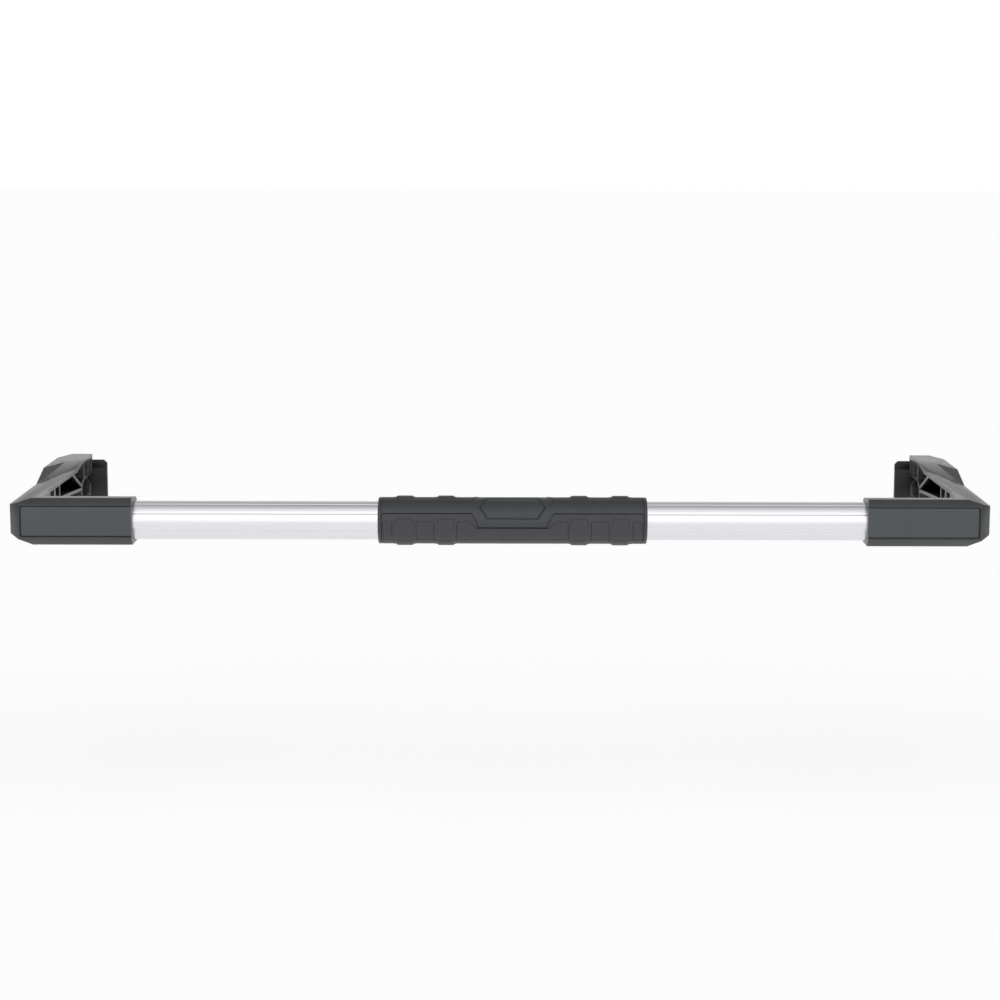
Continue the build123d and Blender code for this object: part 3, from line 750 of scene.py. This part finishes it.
def face_half(x):
    """Half height of the hard face, flat across it. It widens at the ends, round the skins' corners."""
    slant = min(max((abs(x) - shield_reach) / shield_slant, 0.0), 1.0)
    slant = between(slant, ease(slant), slant_softness)
    widening = soft_edge(half_grip - lip - abs(x), outer_corner, outer_corner)
    return between(shield_half, band_half, slant) + widening


def face_edge(x, clear=0.0):
    """Angle from the face's middle line to its edge."""
    return math.asin((face_half(x) + clear) / hard_radius)


def across_face(angle):
    """Distance from the face's middle line, flat across it. It grows past a quarter turn too."""
    turn = angle - face_angle
    return hard_radius * (math.sin(turn) if abs(turn) < quarter_turn else abs(turn) / quarter_turn)


# %% [markdown]
# The blank badge sits in a six-sided recess in the shield. The signed distance from a point to that outline
# tells how deep the recess is there, so one formula gives its floor, its soft wall and the chamfer round
# it. The shield has a sunk border too, a small step that follows its edge.

# %% The recess and the hard face
badge_reach = 18.4 * MM
badge_half = 6.9 * MM
badge_point = 4.2 * MM
recess_depth = 0.85 * MM
recess_wall = 0.30 * MM
chamfer_width = 1.7 * MM
chamfer_depth = 0.42 * MM
edge_round = 0.45 * MM
edge_fall = 0.40 * MM
border_width = 1.3 * MM
border_depth = 0.26 * MM
border_softness = 0.35 * MM


def badge_distance(x, v):
    """Signed distance inside the badge outline: positive inside, negative outside."""
    slope = badge_half / badge_point
    to_end = (badge_reach - abs(x) - abs(v) / slope) / math.sqrt(1 + 1 / slope**2)
    return min(badge_half - abs(v), to_end)


def hard_face_height(x, angle):
    v = across_face(angle)
    from_edge = face_half(x) - abs(v)
    fall = soft_edge(from_edge, edge_fall, edge_round)
    on_shield = 1 - ease((abs(x) - shield_reach) / shield_slant)
    step = border_depth * (1 - ease((from_edge - border_width) / border_softness)) * on_shield
    to_badge = badge_distance(x, v)
    inside = ease(to_badge / recess_wall + 1)
    slope = min(max(to_badge / chamfer_width + 1, 0.0), 1.0) * (1 - inside)
    return hard_radius - fall - step - inside * recess_depth - slope * chamfer_depth


seam = joint / 2 / pad_radius
face_rows = 56
face_thickness = 0.3 * MM
front_shell = bmesh.new()
patch(
    front_shell,
    lip - half_grip,
    half_grip - lip,
    lambda x: face_angle - face_edge(x),
    lambda x: face_angle + face_edge(x),
    face_rows,
    hard_face_height,
    constant(core_radius - face_thickness),
)

# %% [markdown]
# Both shells clamp round the tube, each over half a turn. They share one shape: a thin core under the soft
# skins, and a rounded ring at each end that frames the skins and hides their edges.

# %% Core and end lips, shared by both shells
core_rows, core_columns = 48, 8
lip_rows, lip_columns = 72, 10
lip_rim_drop, lip_rim_reach = 0.7 * MM, 0.8 * MM
lip_foot_drop, lip_foot_reach = 0.35 * MM, 0.5 * MM


def lip_height(x, _angle):
    """Rounded ring at each end."""
    from_end = half_grip - abs(x)
    rim = soft_edge(from_end, lip_rim_drop, lip_rim_reach)
    return hard_radius - rim - soft_edge(lip - from_end, lip_foot_drop, lip_foot_reach)


def core_and_lips(work, low, high):
    low, high, bore = constant(low), constant(high), constant(shell_bore)
    core = constant(core_radius - joint)
    patch(work, lip - half_grip, half_grip - lip, low, high, core_rows, core, bore, core_columns)
    for start in (-half_grip, half_grip - lip):
        patch(work, start, start + lip, low, high, lip_rows, lip_height, bore, lip_columns)


core_and_lips(front_shell, face_angle - quarter_turn + seam, face_angle + quarter_turn - seam)
finish_patches("grip_front_moulding", front_shell, "grip_front_shell")
back_shell = bmesh.new()
core_and_lips(back_shell, face_angle + quarter_turn + seam, face_angle + 3 * quarter_turn - seam)
finish_patches("grip_back_moulding", back_shell, "grip_back_shell")

# %% [markdown]
# The soft skins repeat a pattern towards both ends of the grip: high finger blocks, and low panels between
# and beside them that a narrow groove outlines. Each is a span along the bar that starts a set distance
# from the face's middle line. How far a point lies inside such an outline gives everything: the slope up to
# a block, the panel's shallow drop, and the groove where that distance is nearly nothing. One wider panel
# runs past the shield.

# %% Blocks and panels
high_blocks = ((9.6 * MM, 20.4 * MM), (32.9 * MM, 43.6 * MM))
low_panels = ((2.9 * MM, 8.1 * MM), (21.6 * MM, 31.6 * MM))
wide_panel_start = 44.6 * MM
wide_panel_slant = (51.4 * MM, 55.6 * MM)
high_ramp = 1.5 * MM
high_start = 6.9 * MM
low_start = 8.9 * MM
low_drop = 0.15 * MM
groove_width = 0.55 * MM
groove_depth = 0.38 * MM
panel_corner = 1.4 * MM
panel_margin = 0.2 * MM
print("blocks", 2 * len(high_blocks), "panels", 2 * len(low_panels) + 1, "along each skin")


def depth_inside(along_reach, round_reach):
    """Distance inside a corner's outline, from the distances to its two sides. The corner itself is round."""
    reach = min(along_reach, round_reach)
    if max(along_reach, round_reach) < panel_corner:
        reach = panel_corner - math.hypot(panel_corner - along_reach, panel_corner - round_reach)
    return reach


def span_depth(along, turned, span, start):
    """Distance inside a block that fills a span along the bar and starts this far round from the face."""
    return depth_inside(min(along - span[0], span[1] - along), turned - start)


def wide_panel_depth(along, turned):
    """Distance inside the panel under the shield, whose edge slants away as the shield widens."""
    near, far = wide_panel_slant
    fall = min(max((along - near) / (far - near), 0.0), 1.0)
    shield_start = hard_radius * math.asin(shield_half / hard_radius) + panel_margin
    return depth_inside(along - wide_panel_start, turned - between(low_start, shield_start, fall))


def pad_height(x, angle):
    """Radius of the soft skin, before its edges are rounded."""
    along = half_grip - abs(x)
    turned = abs(angle - face_angle) % (2 * math.pi)
    turned = min(turned, 2 * math.pi - turned) * hard_radius
    height = pad_radius
    for span in high_blocks:
        height += ease(span_depth(along, turned, span, high_start) / high_ramp) * (block_radius - pad_radius)
    panels = [span_depth(along, turned, span, low_start) for span in low_panels]
    inside = max(*panels, wide_panel_depth(along, turned))
    height -= low_drop * ease(inside / groove_width)
    return height - groove_depth * (1 - ease(abs(inside) * 2 / groove_width))


# %% [markdown]
# Three skins cover the shells: one above the hard face, one below it, and one round the back. They differ
# only in their two edges, and in which of these lies on the seam between the shells, where the rubber is
# rounded off further.

# %% The three soft skins
skin_rows = 72
back_rows, back_columns = 110, 400
skin_edge_drop, skin_edge_reach = 0.35 * MM, 0.40 * MM
seam_drop, seam_reach = 0.45 * MM, 0.80 * MM


def pad_with_edges(low_edge, high_edge, from_seam):
    """Skin height that falls off at the piece's own edges and ends."""
    def height(x, angle):
        to_low, to_high = ((angle - low_edge(x)) * hard_radius, (high_edge(x) - angle) * hard_radius)
        to_end = half_grip - lip - joint - abs(x)
        edges = soft_edge(min(to_low, to_high, to_end), skin_edge_drop, skin_edge_reach)
        return pad_height(x, angle) - max(edges, soft_edge(from_seam(to_low, to_high), seam_drop, seam_reach))
    return height


def soft_skin(name, node_name, low_edge, high_edge, from_seam, rows=skin_rows, columns=None):
    work = bmesh.new()
    end = half_grip - lip - joint
    outer = pad_with_edges(low_edge, high_edge, from_seam)
    patch(work, -end, end, low_edge, high_edge, rows, outer, constant(core_radius), columns)
    return finish_patches(name, work, node_name)


def above_face(x):
    return face_angle + face_edge(x, 2 * joint)


def below_face(x):
    return face_angle - face_edge(x, 2 * joint)


upper_seam = constant(face_angle + quarter_turn - seam)
lower_seam = constant(face_angle - quarter_turn + seam)
back_start = constant(face_angle + quarter_turn + seam)
back_end = constant(face_angle + 3 * quarter_turn - seam)
soft_skin("grip_upper_skin", "grip_upper_pad", above_face, upper_seam, lambda low, high: high)
soft_skin("grip_lower_skin", "grip_lower_pad", lower_seam, below_face, lambda low, high: low)
soft_skin("grip_back_skin", "grip_back_pad", back_start, back_end, min, back_rows, back_columns)

# %% [markdown]
# The badge is a thin blank plate. It is a patch too, whose rows close towards its two ends, with a slight
# crown and rounded edges. It lies a hair above the floor of its recess, with an even gap all round.

# %% The blank badge
badge_gap = 0.22 * MM
badge_top = hard_radius - 0.42 * MM
badge_tip = 0.15 * MM
badge_crown = 0.10 * MM
badge_edge_drop, badge_edge_reach = 0.30 * MM, 0.6 * MM
badge_seat = hard_radius - recess_depth + 0.02 * MM
badge_rows, badge_columns = 36, 120


def badge_edge(x):
    """Angle from the badge's middle line to its edge."""
    limit = min(badge_half, (badge_reach - abs(x)) * badge_half / badge_point) - badge_gap
    return math.asin(max(limit, badge_tip) / hard_radius)


def badge_height(x, angle):
    crown = badge_crown * (1 - (x / badge_reach) ** 2)
    inside = badge_distance(x, across_face(angle)) - badge_gap
    return badge_top + crown - soft_edge(inside, badge_edge_drop, badge_edge_reach)


badge = bmesh.new()
patch(
    badge,
    badge_gap - badge_reach,
    badge_reach - badge_gap,
    lambda x: face_angle - badge_edge(x),
    lambda x: face_angle + badge_edge(x),
    badge_rows,
    badge_height,
    constant(badge_seat),
    badge_columns,
)
finish_patches("grip_badge_plate", badge, "grip_badge")

# %% [markdown]
# ## Floor, light and camera
# The floor is plain and pale, and it lies low enough to leave room for the bar when it hangs down from its
# pins: the bar then reaches as far below the pins as it now reaches in front of them. A little light of its
# own keeps the floor as pale as the background far away.

# %% Floor
stage_half = 14.0
floor_clearance = 10 * MM
floor_glow = 0.37
_, pin_y, pin_z = frame["record"]["behaviour"]["joints"][0]["pos_m"]
floor_level = pin_z - (pin_y - cad_low.y) - floor_clearance
print("floor at", round(floor_level / MM, 1))
floor_mesh = bpy.data.meshes.new("studio_floor")
signs = ((-1, -1), (1, -1), (1, 1), (-1, 1))
floor_corners = [(x * stage_half, y * stage_half, floor_level) for x, y in signs]
floor_mesh.from_pydata(floor_corners, [], [(0, 1, 2, 3)])
floor = bpy.data.objects.new("studio_floor", floor_mesh)
bpy.context.scene.collection.objects.link(floor)
pale = Finish("pale_floor", (0.90, 0.90, 0.90), 0.9, specular=0.0)
pale.put(pale.shader, "Emission Color", (1.0, 1.0, 1.0, 1))
pale.put(pale.shader, "Emission Strength", floor_glow)
floor.data.materials.append(pale.material)

# %% [markdown]
# A product like this is lit from the front by broad soft light, with less light from above, so that its
# upper slopes read darker than its face while its level tops catch the bright background at a glancing
# angle. Area lights could do it, but they show as hard shapes in a polished tube. Here the studio is a rule
# instead: its brightness depends on how far a direction has turned from the level at the front, over the
# top, to the level at the back. It is bright in front, grey overhead, darkest behind the zenith and light
# again at the back. A ramp over that angle holds it, and the light falls off towards both sides.

# %% Light of the studio
studio_light = (
    (-180, 0.95), (-30, 0.95), (0, 1.12), (25, 1.20), (55, 1.15), (70, 0.88), (85, 0.62),
    (100, 0.42), (115, 0.34), (135, 0.42), (152, 0.55), (163, 0.90), (172, 1.00), (180, 1.00),
)
middle_strength = 1.15
side_loss = 0.85
blueness = 1.005

world = bpy.data.worlds.new("studio")
bpy.context.scene.world = world
world.use_nodes = True
sky = world.node_tree
background = sky.nodes["Background"]
direction = add_node(sky, "ShaderNodeTexCoord")
parts = add_node(sky, "ShaderNodeSeparateXYZ", None, {0: direction.outputs["Generated"]})
forwards = calc(sky, "MULTIPLY", parts.outputs["Y"], -1.0)
turned = calc(sky, "ARCTAN2", parts.outputs["Z"], forwards)
turns = calc(sky, "ADD", calc(sky, "DIVIDE", turned, 2 * math.pi), 0.5)
ramp = add_node(sky, "ShaderNodeValToRGB", None, {0: turns})
ramp.color_ramp.interpolation = "EASE"
stops = ramp.color_ramp.elements
while len(stops) < len(studio_light):
    stops.new(0.5)
for stop, (degrees, level) in zip(stops, studio_light):
    stop.position = degrees / 360 + 0.5
    stop.color = (level, level, level * blueness, 1)
sideways = calc(sky, "MULTIPLY", parts.outputs["X"], parts.outputs["X"])
strength = calc(sky, "SUBTRACT", middle_strength, calc(sky, "MULTIPLY", sideways, side_loss))
sky.links.new(ramp.outputs[0], background.inputs["Color"])
sky.links.new(strength, background.inputs["Strength"])
print("studio", len(studio_light), "stops")

# %% [markdown]
# The camera stands far in front of the bar with a long lens, and looks down a little, so that the tops of
# the arms and the ribs inside them show. It is barely off the middle, and turned and rolled by a fraction
# of a degree.

# %% Camera
camera_data = bpy.data.cameras.new("camera")
camera = bpy.data.objects.new("camera", camera_data)
bpy.context.scene.collection.objects.link(camera)
camera_aside = 4.85 * MM
camera_distance = 1290 * MM
camera_rise = 218.4 * MM
look_down, roll, pan = 9.0, -0.08, 0.218
camera.location = (camera_aside, cad_low.y - camera_distance, axis_z + camera_rise)
camera.rotation_euler = (math.radians(90 - look_down), math.radians(roll), math.radians(pan))
camera_data.sensor_width = 36.0
camera_data.lens = 83.95
bpy.context.scene.camera = camera
bpy.context.scene.view_settings.view_transform = "Standard"
print("camera", [round(v / MM, 1) for v in camera.location])
